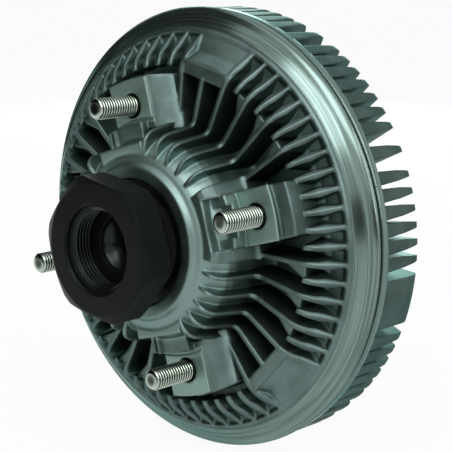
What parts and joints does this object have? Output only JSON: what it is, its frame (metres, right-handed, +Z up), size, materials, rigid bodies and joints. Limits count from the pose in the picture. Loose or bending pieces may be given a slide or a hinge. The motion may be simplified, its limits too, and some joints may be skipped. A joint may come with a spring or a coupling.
{
  "type": "viscous fan clutch",
  "caption": "Finned viscous fan clutch with a threaded hexagonal input hub, fan studs on machined pads and a thermostatic valve under a finned cover.",
  "frame": {"origin": "centre of the fan stud circle, in the plane of the four fan pads", "axes": "+Y along the rotation axis towards the radiator, -Y towards the engine, +Z up"},
  "size_m": [0.172, 0.0822, 0.172],
  "materials": {
    "black_steel": "black oxide, dull",
    "bearing_steel": "ground",
    "rotor_aluminium": "turned",
    "spring_steel": "phosphated",
    "cage_brass": "satin",
    "cast_aluminium": "as cast, machined at the rim and the pads",
    "zinc_steel": "zinc plated, bright",
    "seal_rubber": "matt",
    "sheet_steel": "rolled",
    "bimetal": "rolled strip, heat tinted"
  },
  "bodies": {
    "hub": {"input_shaft": "black_steel", "bearing_inner_race": "bearing_steel", "rotor_disc": "rotor_aluminium", "rotor_retaining_ring": "spring_steel"},
    "housing": {"rear_housing": "cast_aluminium", "fan_studs": "zinc_steel", "bearing_outer_race": "bearing_steel", "bearing_rear_seal": "seal_rubber", "bearing_front_seal": "seal_rubber", "bearing_retaining_ring": "spring_steel", "cover_seal_ring": "seal_rubber", "front_cover": "cast_aluminium", "pump_plate": "sheet_steel", "pump_plate_rivets": "zinc_steel", "bimetal_coil": "bimetal"},
    "cage": {"bearing_balls": "bearing_steel", "bearing_cage": "cage_brass"},
    "valve": {"valve_shaft": "bearing_steel", "valve_arm": "sheet_steel", "valve_seal": "seal_rubber"}
  },
  "joints": [
    {"name": "housing_spin", "type": "hinge", "parent": "hub", "child": "housing", "pos_m": [0, 0, 0], "axis": [0, 1, 0], "continuous": true},
    {"name": "cage_spin", "type": "hinge", "parent": "hub", "child": "cage", "pos_m": [0, 0, 0], "axis": [0, 1, 0], "continuous": true},
    {"name": "valve_turn", "type": "hinge", "parent": "housing", "child": "valve", "pos_m": [0, 0.04, 0], "axis": [0, 1, 0], "range_deg": [0, 40], "stiffness_Nm_per_rad": 0.02, "deforming": ["bimetal_coil"]}
  ],
  "couplings": [
    {"joint": "cage_spin", "follows": "housing_spin", "ratio": 0.6179}
  ]
}
